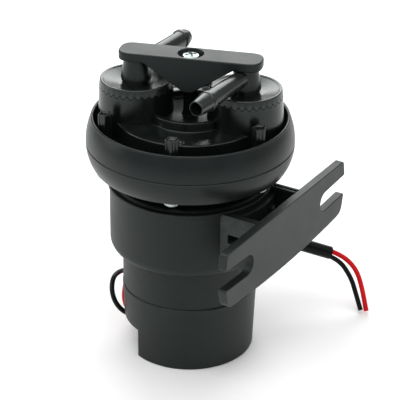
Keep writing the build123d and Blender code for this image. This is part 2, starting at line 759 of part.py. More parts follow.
def outlet_flap():
    return cup_spot(1) * flap(CUP_FLOOR + SEAT_THICKNESS + FLAP_GAP)


def inlet_flap():
    return cup_spot(-1) * flap(CUP_LEDGE - FLAP_GAP - FLAP_THICKNESS)


# ---- the caps with their hose tails ----
PLUG_RADIUS = 20.3
PLUG_BOTTOM = 184.2
PLUG_BORE = 18.0
SEAL_SECTION = 0.8
CAP_DISH = 3.2
RISER_RADIUS = 4.6


def hose_tail(barb, length):
    """The nozzle standing along Z, its root at zero, its one barb starting at barb."""
    land = barb + NOZZLE_LAND
    return turned_line(
        (0, 0),
        (ROOT_RADIUS, 0),
        (BARB_RADIUS - NECK_DOWN, barb),
        (BARB_RADIUS - 0.2, barb),
        (BARB_RADIUS, barb + 0.3),
        (BARB_RADIUS, land),
        (BARB_RADIUS - 0.5, land + 0.5),
        (TIP_RADIUS, length - 0.4),
        (TIP_RADIUS - 0.3, length),
        (0, length),
    )


def hose_bore(length):
    return turned_line(
        (0, -1),
        (BORE_RADIUS, -1),
        (BORE_RADIUS, length - 14),
        (MOUTH_RADIUS, length - 6),
        (MOUTH_RADIUS, length + 1),
        (0, length + 1),
    )


def port_cap(turn, barb, length):
    """A cap for one cup, its hose tail pointing at turn, standing on the Z axis."""
    bottom = CUP_TOP + CAP_GAP
    well = CAP_EDGE - CAP_DISH
    skirt = turned_line(
        (0, bottom),
        (CUP_TOP_RADIUS, bottom),
        (CAP_EDGE_RADIUS, CAP_EDGE - 0.6),
        (CAP_EDGE_RADIUS - 0.6, CAP_EDGE),
        (CAP_EDGE_RADIUS - 1.6, CAP_EDGE),
        (PEG_FOOT_RADIUS + 2.5, well),
        (0, well),
    )
    plug = disc(PLUG_RADIUS, PLUG_BOTTOM, bottom + 1)
    peg = turned_line(
        (0, well - 1),
        (PEG_FOOT_RADIUS, well - 1),
        (PEG_FOOT_RADIUS, well),
        (PEG_BELLY_RADIUS, PEG_BELLY),
        (PEG_TOP_RADIUS, PEG_TOP),
        (0, PEG_TOP),
    )
    sideways = Pos(0, 0, NOZZLE_HEIGHT) * Rot(0, 0, turn) * Rot(0, 90, 0)
    cap = skirt + plug + peg + sideways * hose_tail(barb, length)
    cap -= disc(PLUG_BORE, PLUG_BOTTOM - 1, bottom + 0.4)
    cap -= disc(RISER_RADIUS, bottom, NOZZLE_HEIGHT + 1)
    return cap - sideways * hose_bore(length)


def port_cap_seal():
    """The ring that sits on the plug of a cap."""
    section_middle = PLUG_RADIUS + SEAL_SECTION
    return Pos(0, 0, 187) * Torus(section_middle, SEAL_SECTION)


def outlet_cap():
    return cup_spot(1) * Rot(0, 0, -HEAD_TURN) * port_cap(OUTLET_TURN, OUTLET_BARB, OUTLET_LENGTH)


def inlet_cap():
    return cup_spot(-1) * Rot(0, 0, -HEAD_TURN) * port_cap(INLET_TURN, INLET_BARB, INLET_LENGTH)


# ---- the yoke that holds both caps down ----
YOKE_SCREW_HEAD = 6.7
YOKE_SCREW_HEAD_HEIGHT = 3.8
YOKE_SINK = 4.6
WELL_RADIUS = 8.7
WEB_WALL = 2.4
YOKE_CORE = 9.5
YOKE_SKIN = 3.6


def yoke():
    half = YOKE_LENGTH / 2
    lip = YOKE_UNDERSIDE + 2.4
    side_view = Polyline(
        (-half, YOKE_TOP),
        (half, YOKE_TOP),
        (half, lip),
        (half - 4, YOKE_UNDERSIDE),
        (WEB_REACH, YOKE_UNDERSIDE),
        (3, YOKE_APEX),
        (-3, YOKE_APEX),
        (-WEB_REACH, YOKE_UNDERSIDE),
        (-half + 4, YOKE_UNDERSIDE),
        (-half, lip),
        close=True,
    )
    body = extrude(Plane.XZ * make_face(side_view), YOKE_WIDTH / 2, both=True)
    plan = SlotOverall(YOKE_LENGTH, YOKE_WIDTH)
    body &= Pos(0, 0, YOKE_APEX - 1) * extrude(plan, YOKE_TOP - YOKE_APEX + 2)
    body = fillet(body.faces().sort_by(Axis.Z)[-1].edges(), 1.0)
    pocket_half = YOKE_WIDTH / 2 - WEB_WALL
    for side in (-1, 1):
        pocket = block(YOKE_CORE, WEB_REACH + 1, -pocket_half, pocket_half, YOKE_APEX - 1, YOKE_TOP - YOKE_SKIN)
        body -= pocket if side > 0 else Rot(0, 0, 180) * pocket
    body -= disc(2.7, YOKE_APEX - 1, YOKE_TOP + 1)
    body -= cone(YOKE_SCREW_HEAD + 0.5, WELL_RADIUS, YOKE_TOP - YOKE_SINK, YOKE_TOP + 0.01)
    return Rot(0, 0, HEAD_TURN) * body


def yoke_screw():
    seat = YOKE_TOP - YOKE_SINK
    screw = pan_screw(YOKE_SCREW_HEAD, YOKE_SCREW_HEAD_HEIGHT, 2.35, seat - RING_TOP - 8)
    return Rot(0, 0, 35) * Pos(0, 0, seat) * screw


# ---- the bracket ----
def plate_outline():
    """The plate's face in (Y, Z): bowed ends, a shallow belly and a straight top."""
    half = PLATE_HALF_LENGTH - PLATE_END_BULGE
    corner = PLATE_BOTTOM + PLATE_BELLY
    middle = (PLATE_TOP + corner) / 2
    outline = Line((-half, PLATE_TOP), (half, PLATE_TOP))
    outline += ThreePointArc((half, PLATE_TOP), (PLATE_HALF_LENGTH, middle), (half, corner))
    outline += ThreePointArc((half, corner), (0, PLATE_BOTTOM), (-half, corner))
    outline += ThreePointArc((-half, corner), (-PLATE_HALF_LENGTH, middle), (-half, PLATE_TOP))
    face = make_face(outline)
    low_corners = face.vertices().group_by(Axis.Y)[0]
    face = fillet(low_corners, 7.0)
    return fillet(face.vertices().group_by(Axis.Y)[-1], 1.5)


def slot_tool(side):
    """An open slot from its round end out past the plate's end, rising a little outwards."""
    half = SLOT_WIDTH / 2
    tool = block(0, 200, 0, 80, -half, half) + Rot(0, 90, 0) * Cylinder(half, 400)
    tool = Pos(0, SLOT_END + half, SLOT_HEIGHT) * Rot(SLOT_TILT, 0, 0) * tool
    return tool if side > 0 else mirror(tool, about=Plane.XZ)


def bracket():
    """The wall plate, its two arms and the saddle that hugs the body."""
    face_plane = Plane(origin=(PLATE_FACE - PLATE_THICKNESS, 0, 0), x_dir=(0, 1, 0), z_dir=(1, 0, 0))
    plate = extrude(face_plane * plate_outline(), PLATE_THICKNESS)
    plate = chamfer(plate.faces().sort_by(Axis.X)[-1].edges(), 0.5)
    back = PLATE_FACE - PLATE_THICKNESS
    near = block(ARM_ROOT, back + 1, NEAR_ARM, NEAR_ARM + ARM_THICKNESS, ARM_BOTTOM, PLATE_TOP - 0.4)
    far = block(ARM_ROOT, back + 1, FAR_ARM - FAR_ARM_THICKNESS, FAR_ARM, ARM_BOTTOM, PLATE_TOP + 0.6)
    groove_from = FAR_ARM - (FAR_ARM_THICKNESS + FAR_ARM_GROOVE) / 2
    groove_to = groove_from + FAR_ARM_GROOVE
    far -= block(ARM_ROOT, back - 4, groove_from, groove_to, PLATE_TOP - FAR_ARM_GROOVE, PLATE_TOP + 2)
    saddle = block(ARM_ROOT, back, NEAR_ARM, FAR_ARM, ARM_BOTTOM, BODY_TOP - RIM_THICKNESS - 1)
    saddle &= disc(UPPER_RADIUS + SADDLE_THICKNESS, ARM_BOTTOM - 1, BODY_TOP)
    shelf = block(ARM_ROOT, back + 1, NEAR_ARM + 1, FAR_ARM - 1, ARM_BOTTOM, ARM_BOTTOM + SHELF_THICKNESS)
    body = plate + near + far + saddle + shelf
    body -= disc(UPPER_RADIUS + 0.05, 60, BODY_TOP - RIM_THICKNESS)
    body -= disc(RIM_RADIUS + 0.4, BODY_TOP - RIM_THICKNESS - 0.6, 140)
    arm_inside = NEAR_ARM + ARM_THICKNESS + 1
    body -= block(WINDOW_FROM, WINDOW_TO, NEAR_ARM - 1, arm_inside, WINDOW_BOTTOM, WINDOW_TOP)
    for side in (-1, 1):
        body -= slot_tool(side)
    for angle, height in bracket_screw_spots():
        body -= radial(angle, height) * disc(BRACKET_SCREW_RADIUS + 0.2, 40, 70)
    return body


def bracket_screws():
    screws = []
    reach = UPPER_RADIUS + SADDLE_THICKNESS
    for angle, height in bracket_screw_spots():
        screw = pan_screw(BRACKET_SCREW_HEAD, 2.2, BRACKET_SCREW_RADIUS, SADDLE_THICKNESS + WALL)
        screws.append(radial(angle, height) * Pos(0, 0, reach) * screw)
    return screws


# ---- the wires ----
# Each route starts in the grommet, rises at the left of the notch, passes behind the body
# under its shoulder, runs straight through the sleeve and ends bare on the ground.
BLACK_SLEEVE_RUN = 10
RED_SLEEVE_RUN = 9
SLEEVE_FROM = 0.05
SLEEVE_TO = 0.82

BLACK_ROUTE = [
    (-29.8, -14.4, 14.8),
    (-37.5, -19.1, 14.8),
    (-41.5, -29.6, 26.5),
    (-47.6, -27.5, 36.9),
    (-52.2, -16.2, 43.5),
    (-55.6, 9.7, 33.6),
    (-53.5, 29.0, 55.0),
    (-36.0, 41.8, 60.8),
    (-10.5, 52.5, 60.8),
    (14.4, 63.5, 55.2),
    (39.5, 81.1, 47.0),
    (64.0, 100.3, 35.2),
    (76.3, 99.0, 23.4),
    (82.8, 95.8, 12.0),
    (88.4, 92.8, 2.2),
]

RED_ROUTE = [
    (-32.1, -10.6, 14.8),
    (-39.4, -14.6, 14.8),
    (-44.6, -15.1, 20.3),
    (-49.0, -9.0, 29.0),
    (-48.6, 7.5, 57.5),
    (-46.9, 21.0, 65.2),
    (-34.5, 40.1, 66.3),
    (-10.2, 52.4, 65.6),
    (14.6, 63.7, 58.9),
    (40.2, 81.8, 50.6),
    (64.7, 101.0, 38.8),
    (78.5, 101.3, 30.9),
    (86.3, 98.5, 17.0),
    (92.3, 94.0, 2.2),
]


def arc_radii(route):
    """The radius at each corner: ARC_SHARE of the shorter run over tan(half the turn)."""
    corners = [Vector(*point) for point in route]
    radii = []
    for before, here, after in zip(corners, corners[1:], corners[2:]):
        into = here - before
        out = after - here
        half_turn = math.radians(into.get_angle(out) / 2)
        radii.append(ARC_SHARE * min(into.length, out.length) / math.tan(half_turn))
    return radii


def wire(route):
    path = FilletPolyline(*route, radius=arc_radii(route))
    section = Plane(origin=path @ 0, z_dir=path % 0) * Circle(WIRE_DIAMETER / 2)
    return sweep(section, path=path)


def wire_report(name, route, solid):
    path = FilletPolyline(*route, radius=arc_radii(route))
    expected = path.length * math.pi * (WIRE_DIAMETER / 2) ** 2
    print(name, "length", round(path.length, 1), "volume ratio", round(solid.volume / expected, 4))
    print(name, "radii", [round(radius, 1) for radius in arc_radii(route)])


def between(first, second, share):
    return first + (second - first) * share


def wire_sleeve():
    """The tube that gathers both wires, round the middle of their straight runs."""
    start = (Vector(*BLACK_ROUTE[BLACK_SLEEVE_RUN]) + Vector(*RED_ROUTE[RED_SLEEVE_RUN])) / 2
    end = (Vector(*BLACK_ROUTE[BLACK_SLEEVE_RUN + 1]) + Vector(*RED_ROUTE[RED_SLEEVE_RUN + 1])) / 2
    low = between(start, end, SLEEVE_FROM)
    length = (end - start).length * (SLEEVE_TO - SLEEVE_FROM)
    section = Circle(SLEEVE_RADIUS) - Circle(SLEEVE_BORE)
    return extrude(Plane(origin=low, z_dir=end - start) * section, length)


CLIP_TURN = 116.5
CLIP_HALF_WIDTH = 4.0
CLIP_REACH = 56.6
CLIP_BOTTOM = 57.0
CLIP_TOP = 70.2
CLIP_WALL = 1.8


def wire_clip():
    """A closed saddle on the back of the body that both wires pass through."""
    half = CLIP_HALF_WIDTH
    inside = LOWER_RADIUS + 3.0
    saddle = block(LOWER_RADIUS - 2, CLIP_REACH, -half, half, CLIP_BOTTOM, CLIP_TOP)
    saddle -= block(
        inside, CLIP_REACH - CLIP_WALL, -half - 1, half + 1, CLIP_BOTTOM + CLIP_WALL, CLIP_TOP - CLIP_WALL
    )
    saddle = Rot(0, 0, CLIP_TURN) * saddle
    return saddle - body_outline(0, CAP_HEIGHT, BODY_TOP)


# ---- writing the pieces ----
def single_pieces():
    return {
        "motor_end_cap": motor_end_cap(),
        "gear_housing": gear_housing(),
        "wire_grommet": wire_grommet(),
        "motor_can": motor_can(),
        "motor_end_plate": motor_end_plate(),
        "rotor_shaft": rotor_shaft(),
        "armature_core": armature_core(),
        "armature_windings": armature_windings(),
        "commutator": commutator(),
        "motor_pinion": motor_pinion(),
        "crank_gear": crank_gear(),
        "crankshaft": crankshaft(),
        "eccentric": eccentric(),
        "rod_bearing_inner": rod_bearing_inner(),
        "rod_bearing_outer": rod_bearing_outer(),
        "connecting_rod": connecting_rod(),
        "pump_base": pump_base(),
        "cover_ring": cover_ring(),
        "valve_deck": valve_deck(),
        "pillar_insert": pillar_insert(),
        "diaphragm": diaphragm(),
        "lower_plate": lower_plate(),
        "upper_plate": upper_plate(),
        "diaphragm_screw": diaphragm_screw(),
        "inlet_seat": inlet_seat(),
        "outlet_seat": outlet_seat(),
        "inlet_flap": inlet_flap(),
        "outlet_flap": outlet_flap(),
        "inlet_cap": inlet_cap(),
        "outlet_cap": outlet_cap(),
        "inlet_cap_seal": cup_spot(-1) * port_cap_seal(),
        "outlet_cap_seal": cup_spot(1) * port_cap_seal(),
        "yoke": yoke(),
        "yoke_screw": yoke_screw(),
        "bracket": bracket(),
        "wire_black": wire(BLACK_ROUTE),
        "wire_red": wire(RED_ROUTE),
        "wire_sleeve": wire_sleeve(),
        "wire_clip": wire_clip(),
    }


def grouped_pieces():
    return {
        "end_cap_screws": end_cap_screws(),
        "motor_magnets": motor_magnets(),
        "motor_bushes": motor_bushes(),
        "motor_screws": motor_screws(),
        "brush_holders": brush_holders(),
        "motor_brushes": motor_brushes(),
        "brush_springs": brush_springs(),
        "crank_bushes": crank_bushes(),
        "rod_bearing_balls": rod_bearing_balls(),
        "ring_screws": ring_screws(),
        "bracket_screws": bracket_screws(),
    }


pieces = single_pieces()
for name, solids in grouped_pieces().items():
    flat = []
    for shape in solids:
        flat.extend(shape.solids())
    pieces[name] = Compound(flat)

for name, shape in pieces.items():
    export_step(shape, f"parts/{name}.step")

wire_report("black wire", BLACK_ROUTE, pieces["wire_black"])
wire_report("red wire", RED_ROUTE, pieces["wire_red"])
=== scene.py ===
"""Looks of an upright electric diaphragm pump: camera, wires, shells, caps, bracket, screws and materials.

Lengths are in millimetres, as on a drawing, and MM turns them into metres.
"""

import math

import bmesh
import bpy
from mathutils import Matrix, Vector


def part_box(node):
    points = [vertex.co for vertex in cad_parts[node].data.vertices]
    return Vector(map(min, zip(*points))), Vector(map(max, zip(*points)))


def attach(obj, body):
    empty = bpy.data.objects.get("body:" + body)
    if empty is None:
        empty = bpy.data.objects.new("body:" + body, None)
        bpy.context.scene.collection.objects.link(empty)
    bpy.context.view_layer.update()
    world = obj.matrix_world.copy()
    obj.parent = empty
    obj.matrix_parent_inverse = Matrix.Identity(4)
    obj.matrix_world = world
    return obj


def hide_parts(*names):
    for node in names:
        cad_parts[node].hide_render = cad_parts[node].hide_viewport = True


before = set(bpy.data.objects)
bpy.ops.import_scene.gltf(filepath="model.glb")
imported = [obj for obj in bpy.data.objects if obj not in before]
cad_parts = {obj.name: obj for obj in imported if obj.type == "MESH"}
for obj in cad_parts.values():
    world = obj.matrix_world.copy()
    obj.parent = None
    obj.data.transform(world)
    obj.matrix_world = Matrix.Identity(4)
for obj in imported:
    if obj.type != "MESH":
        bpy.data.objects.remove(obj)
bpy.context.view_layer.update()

MM = 0.001

# ---- driving dimensions, read from the frame where a node states them ----
HEAD_TURN = math.radians(18.7)
CUP_OFFSET = 37.0
TOOTH_COUNT = 32
TOOTH_RISE = 1.1
DECK_TOP = 172.5
MOAT_FLOOR = 160.0
CUP_RIM = 190.0
SEAM_GAP = 0.55
CUP_RADIUS = 24.7
NOZZLE_HEIGHT = 204.0
OUTLET_TURN = math.radians(-89.9)
OUTLET_BARB = 47.6
OUTLET_LENGTH = 63.3
INLET_TURN = math.radians(88.6)
INLET_BARB = 52.6
INLET_LENGTH = 61.0
POST_CIRCLE = 58.8
POST_TURN = math.radians(31.2)
BOSS_HEIGHT = 6.0
YOKE_UNDERSIDE = 210.0
YOKE_SINK = 4.6
YOKE_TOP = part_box("yoke")[1].z / MM
RING_FOOT = 137.8
PLATE_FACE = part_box("bracket")[1].x / MM
PLATE_HALF_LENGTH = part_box("bracket")[1].y / MM


# ---- camera, light and floor ----
def turned_direction(azimuth, elevation):
    """The direction from the object towards a viewer, angles in degrees."""
    around = math.radians(azimuth)
    up = math.radians(elevation)
    return Vector((math.sin(around) * math.cos(up), -math.cos(around) * math.cos(up), math.sin(up)))


def make_camera():
    azimuth = 31.0
    elevation = 27.24
    distance = 1223.6
    roll = math.radians(0.47)
    aim_across = 6.74
    aim_height = 108.27
    across = Vector((math.cos(math.radians(azimuth)), math.sin(math.radians(azimuth)), 0))
    aim = across * aim_across + Vector((0, 0, aim_height))
    back = turned_direction(azimuth, elevation)
    data = bpy.data.cameras.new("camera")
    data.sensor_width = 36
    data.lens = 162
    data.clip_start = 0.05
    data.clip_end = 20
    camera = bpy.data.objects.new("camera", data)
    bpy.context.scene.collection.objects.link(camera)
    facing = (-back).to_track_quat("-Z", "Y").to_matrix().to_4x4()
    spot = Matrix.Translation((aim + back * distance) * MM)
    camera.matrix_world = spot @ facing @ Matrix.Rotation(roll, 4, "Z")
    bpy.context.scene.camera = camera


LIGHT_AIM = Vector((0, 0, 0.11))


def area_light(name, azimuth, elevation, distance, width, height, power):
    """A soft box that looks at the middle of the object. Angles in degrees, sizes and distance in metres."""
    data = bpy.data.lights.new(name, "AREA")
    data.shape = "RECTANGLE"
    data.size = width
    data.size_y = height
    data.energy = power
    lamp = bpy.data.objects.new(name, data)
    bpy.context.scene.collection.objects.link(lamp)
    back = turned_direction(azimuth, elevation)
    lamp.location = LIGHT_AIM + back * distance
    lamp.rotation_mode = "QUATERNION"
    lamp.rotation_quaternion = back.to_track_quat("Z", "Y")


def make_light():
    world = bpy.data.worlds.new("studio")
    world.use_nodes = True
    background = world.node_tree.nodes["Background"]
    background.inputs["Color"].default_value = (1.0, 1.0, 1.0, 1.0)
    background.inputs["Strength"].default_value = 0.35
    bpy.context.scene.world = world
    bpy.context.scene.view_settings.view_transform = "Standard"
    area_light("top_box", 10, 74, distance=1.6, width=2.2, height=2.0, power=26)
    area_light("left_box", -62, 24, distance=1.2, width=0.5, height=0.8, power=3)
    area_light("right_box", 112, 40, distance=1.2, width=0.6, height=0.8, power=1.5)
    area_light("back_box", 205, 34, distance=1.3, width=1.1, height=0.7, power=10.5)


def make_floor():
    mesh = bpy.data.meshes.new("floor")
    reach = 4.0
    corners = [(-reach, -reach, 0), (reach, -reach, 0), (reach, reach, 0), (-reach, reach, 0)]
    mesh.from_pydata(corners, [], [(0, 1, 2, 3)])
    floor = bpy.data.objects.new("floor", mesh)
    bpy.context.scene.collection.objects.link(floor)
    material = bpy.data.materials.new("floor_paper")
    material.use_nodes = True
    shader = material.node_tree.nodes["Principled BSDF"]
    shader.inputs["Base Color"].default_value = (0.97, 0.97, 0.97, 1.0)
    shader.inputs["Roughness"].default_value = 0.9
    mesh.materials.append(material)


# ---- node helpers ----
def new_material(name):
    material = bpy.data.materials.new(name)
    material.use_nodes = True
    return material, material.node_tree, material.node_tree.nodes["Principled BSDF"]


def add_node(tree, kind, values=None, **settings):
    """Adds a node, sets its options from settings and its sockets from values."""
    made = tree.nodes.new(kind)
    for key, value in settings.items():
        setattr(made, key, value)
    for key, value in (values or {}).items():
        made.inputs[key].default_value = value
    return made


def object_place(tree, stretch=(1, 1, 1)):
    """Object coordinates, stretched, as a socket."""
    coordinates = add_node(tree, "ShaderNodeTexCoord")
    mapping = add_node(tree, "ShaderNodeMapping", {"Scale": stretch})
    tree.links.new(coordinates.outputs["Object"], mapping.inputs["Vector"])
    return mapping.outputs["Vector"]


def noise(tree, place, scale, detail=2.0, rough=0.5):
    made = add_node(tree, "ShaderNodeTexNoise", {"Scale": scale, "Detail": detail, "Roughness": rough})
    tree.links.new(place, made.inputs["Vector"])
    return made.outputs["Fac"]


def ranged(tree, value, low, high, to_low, to_high):
    made = add_node(
        tree,
        "ShaderNodeMapRange",
        {"From Min": low, "From Max": high, "To Min": to_low, "To Max": to_high},
        clamp=True,
    )
    tree.links.new(value, made.inputs["Value"])
    return made.outputs["Result"]


def blended(tree, factor, first, second):
    """A colour mix. first and second are colours or sockets."""
    made = add_node(tree, "ShaderNodeMix", data_type="RGBA")
    tree.links.new(factor, made.inputs["Factor"])
    for socket, value in ((made.inputs[6], first), (made.inputs[7], second)):
        if isinstance(value, tuple):
            socket.default_value = (*value, 1.0)
        else:
            tree.links.new(value, socket)
    return made.outputs[2]


def multiplied(tree, first, second):
    made = add_node(tree, "ShaderNodeMath", operation="MULTIPLY")
    tree.links.new(first, made.inputs[0])
    if isinstance(second, float):
        made.inputs[1].default_value = second
    else:
        tree.links.new(second, made.inputs[1])
    return made.outputs["Value"]


def bumped(tree, heights, shader):
    """Stacks (socket, depth in millimetres) into one bump on the shader."""
    before = None
    for height, depth in heights:
        made = add_node(tree, "ShaderNodeBump", {"Strength": 1.0, "Distance": depth * MM})
        tree.links.new(height, made.inputs["Height"])
        if before is not None:
            tree.links.new(before, made.inputs["Normal"])
        before = made.outputs["Normal"]
    tree.links.new(before, shader.inputs["Normal"])


def edge_mask(tree):
    """High along outer edges, where moulded plastic is rubbed."""
    geometry = add_node(tree, "ShaderNodeNewGeometry")
    return ranged(tree, geometry.outputs["Pointiness"], 0.53, 0.62, 0.0, 1.0)


# ---- materials ----
GRAIN_SCALE = 950.0
EDGE_WEAR = 0.5
DUST = 0.12


def moulded(name, dark, light, worn, roughness, grain_depth, shine=0.5):
    """Moulded plastic or rubber: mottled colour, fine stipple, and rubbed edges with scuffs."""
    material, tree, shader = new_material(name)
    shader.inputs["Specular IOR Level"].default_value = shine
    shader.inputs["Specular Tint"].default_value = (0.90, 1.0, 0.97, 1.0)
    place = object_place(tree)
    cloud = noise(tree, place, 38.0, 4.0, 0.6)
    grain = noise(tree, place, GRAIN_SCALE, 2.0, 0.55)
    fine = noise(tree, place, GRAIN_SCALE * 2.6, 1.0, 0.5)
    scuff = noise(tree, object_place(tree, (1.0, 1.0, 1.4)), 130.0, 5.0, 0.6)
    tone = blended(tree, ranged(tree, cloud, 0.3, 0.7, 0.0, 1.0), dark, light)
    rubbed = multiplied(tree, edge_mask(tree), ranged(tree, scuff, 0.35, 0.65, 0.15, 1.0))
    rubbed = multiplied(tree, rubbed, EDGE_WEAR)
    tone = blended(tree, rubbed, tone, worn)
    dusty = multiplied(tree, ranged(tree, scuff, 0.62, 0.78, 0.0, 1.0), DUST)
    tone = blended(tree, dusty, tone, worn)
    tree.links.new(tone, shader.inputs["Base Color"])
    rough = ranged(tree, cloud, 0.25, 0.75, roughness - 0.05, roughness + 0.06)
    tree.links.new(rough, shader.inputs["Roughness"])
    bumped(tree, [(grain, grain_depth), (fine, grain_depth * 0.4)], shader)
    return material


def painted_shade_centre(material, edge):
    """Painted shade: turns down the shine of everything that lies nearer the body axis than edge, so the well
    round the pillar, under the yoke and its V web, stays dark.
    """
    tree = material.node_tree
    shader = tree.nodes["Principled BSDF"]
    shine = shader.inputs["Specular IOR Level"].default_value
    away = add_node(tree, "ShaderNodeVectorMath", operation="LENGTH")
    tree.links.new(object_place(tree, (1.0, 1.0, 0.0)), away.inputs[0])
    fade = 3.0
    level = ranged(tree, away.outputs["Value"], (edge - fade) * MM, edge * MM, 0.04, shine)
    tree.links.new(level, shader.inputs["Specular IOR Level"])
    return material


def zinc():
    """Bright zinc plating with a faint cloudy passivation."""
    material, tree, shader = new_material("zinc_plate")
    place = object_place(tree)
    cloud = noise(tree, place, 420.0, 4.0, 0.6)
    tone = blended(tree, ranged(tree, cloud, 0.35, 0.7, 0.0, 1.0), (0.50, 0.56, 0.55), (0.28, 0.34, 0.33))
    tree.links.new(tone, shader.inputs["Base Color"])
    shader.inputs["Metallic"].default_value = 1.0
    tree.links.new(ranged(tree, cloud, 0.3, 0.7, 0.20, 0.34), shader.inputs["Roughness"])
    bumped(tree, [(noise(tree, place, 1400.0, 2.0), 0.003)], shader)
    return material


def metal(name, bright, dull, roughness, stretch=(1, 1, 1), lines=1500.0):
    """Bare metal with machining lines along one direction."""
    material, tree, shader = new_material(name)
    lined = noise(tree, object_place(tree, stretch), lines, 3.0, 0.6)
    cloud = noise(tree, object_place(tree), 140.0, 3.0, 0.6)
    tone = blended(tree, ranged(tree, cloud, 0.3, 0.75, 0.0, 1.0), bright, dull)
    tree.links.new(tone, shader.inputs["Base Color"])
    shader.inputs["Metallic"].default_value = 1.0
    rough = ranged(tree, lined, 0.3, 0.7, roughness - 0.06, roughness + 0.1)
    tree.links.new(rough, shader.inputs["Roughness"])
    bumped(tree, [(lined, 0.008)], shader)
    return material


def striped(name, light, dark, band, depth, metallic, roughness):
    """Stacked sheets or wound turns: light and dark bands across Z, each about band millimetres wide."""
    material, tree, shader = new_material(name)
    scale = 1.0 / (band * MM) / 3.1416 / 2
    wave = add_node(tree, "ShaderNodeTexWave", {"Scale": scale, "Distortion": 0.4})
    wave.bands_direction = "Z"
    tree.links.new(object_place(tree), wave.inputs["Vector"])
    tone = blended(tree, wave.outputs["Fac"], dark, light)
    tree.links.new(tone, shader.inputs["Base Color"])
    shader.inputs["Metallic"].default_value = metallic
    shader.inputs["Roughness"].default_value = roughness
    bumped(tree, [(wave.outputs["Fac"], depth)], shader)
    return material


def vinyl(name, dark, light):
    """Soft wire insulation with a waxy gloss and faint handling marks."""
    material, tree, shader = new_material(name)
    place = object_place(tree)
    cloud = noise(tree, place, 90.0, 4.0, 0.6)
    tone = blended(tree, ranged(tree, cloud, 0.3, 0.7, 0.0, 1.0), dark, light)
    tree.links.new(tone, shader.inputs["Base Color"])
    tree.links.new(ranged(tree, cloud, 0.3, 0.7, 0.30, 0.42), shader.inputs["Roughness"])
    shader.inputs["Specular IOR Level"].default_value = 0.14
    bumped(tree, [(noise(tree, place, 700.0, 2.0), 0.02)], shader)
    return material


# Each row is a name, three colours (dark, light and worn), roughness, grain depth in millimetres, and shine.
MOULDED = {
    "body": (
        "body_plastic",
        (0.004, 0.006, 0.005), (0.009, 0.012, 0.011), (0.03, 0.036, 0.034),
        0.48, 0.10, 0.32,
    ),
    "bracket": (
        "bracket_plastic",
        (0.006, 0.008, 0.007), (0.013, 0.016, 0.014), (0.05, 0.058, 0.053),
        0.46, 0.09, 0.36,
    ),
    "ring": (
        "ring_plastic",
        (0.005, 0.006, 0.006), (0.009, 0.011, 0.011), (0.03, 0.036, 0.036),
        0.36, 0.04, 0.31,
    ),
    "deck": (
        "deck_plastic",
        (0.003, 0.004, 0.004), (0.006, 0.007, 0.007), (0.02, 0.024, 0.024),
        0.24, 0.02, 0.45,
    ),
    "cap": (
        "cap_plastic",
        (0.006, 0.007, 0.007), (0.011, 0.013, 0.013), (0.04, 0.048, 0.046),
        0.26, 0.02, 0.60,
    ),
    "yoke": (
        "yoke_plastic",
        (0.005, 0.007, 0.007), (0.010, 0.013, 0.013), (0.04, 0.047, 0.046),
        0.42, 0.06, 0.30,
    ),
    "nylon": (
        "natural_nylon",
        (0.50, 0.47, 0.40), (0.58, 0.55, 0.48), (0.66, 0.63, 0.58),
        0.45, 0.02, 0.50,
    ),
    "rubber": (
        "seal_rubber",
        (0.012, 0.012, 0.012), (0.020, 0.020, 0.020), (0.05, 0.05, 0.05),
        0.72, 0.03, 0.50,
    ),
    "flap": (
        "flap_rubber",
        (0.11, 0.03, 0.022), (0.15, 0.045, 0.03), (0.2, 0.09, 0.07),
        0.68, 0.03, 0.50,
    ),
    "graphite": (
        "graphite",
        (0.03, 0.03, 0.032), (0.05, 0.05, 0.052), (0.12, 0.12, 0.12),
        0.55, 0.03, 0.50,
    ),
    "ferrite": (
        "ferrite",
        (0.05, 0.05, 0.052), (0.075, 0.073, 0.072), (0.16, 0.16, 0.16),
        0.66, 0.05, 0.50,
    ),
}


def make_materials():
    """Every material by its plain name."""
    made = {key: moulded(*row) for key, row in MOULDED.items()}
    made |= {
        "zinc": zinc(),
        "blackened": metal("blackened_steel", (0.045, 0.047, 0.046), (0.028, 0.030, 0.029), 0.50),
        "steel": metal("ground_steel", (0.62, 0.62, 0.61), (0.48, 0.48, 0.47), 0.30, (1, 1, 14)),
        "sheet": metal("plated_sheet", (0.58, 0.59, 0.60), (0.44, 0.45, 0.46), 0.36, (1, 1, 9)),
        "alloy": metal("cast_alloy", (0.66, 0.66, 0.67), (0.52, 0.52, 0.53), 0.44, (1, 1, 1), 900.0),
        "bronze": metal("sintered_bronze", (0.56, 0.38, 0.18), (0.42, 0.28, 0.13), 0.48, (1, 1, 1), 2200.0),
        "core": striped("core_sheets", (0.40, 0.40, 0.41), (0.16, 0.16, 0.17), 0.5, 0.05, 1.0, 0.42),
        "copper": striped("wound_copper", (0.70, 0.30, 0.12), (0.30, 0.10, 0.03), 0.8, 0.25, 1.0, 0.3),
        "wire_black": vinyl("black_insulation", (0.004, 0.005, 0.005), (0.008, 0.009, 0.009)),
        "wire_red": vinyl("red_insulation", (0.56, 0.004, 0.008), (0.68, 0.008, 0.014)),
        "sleeve": vinyl("sleeve_tube", (0.001, 0.002, 0.002), (0.003, 0.004, 0.004)),
    }
    return made


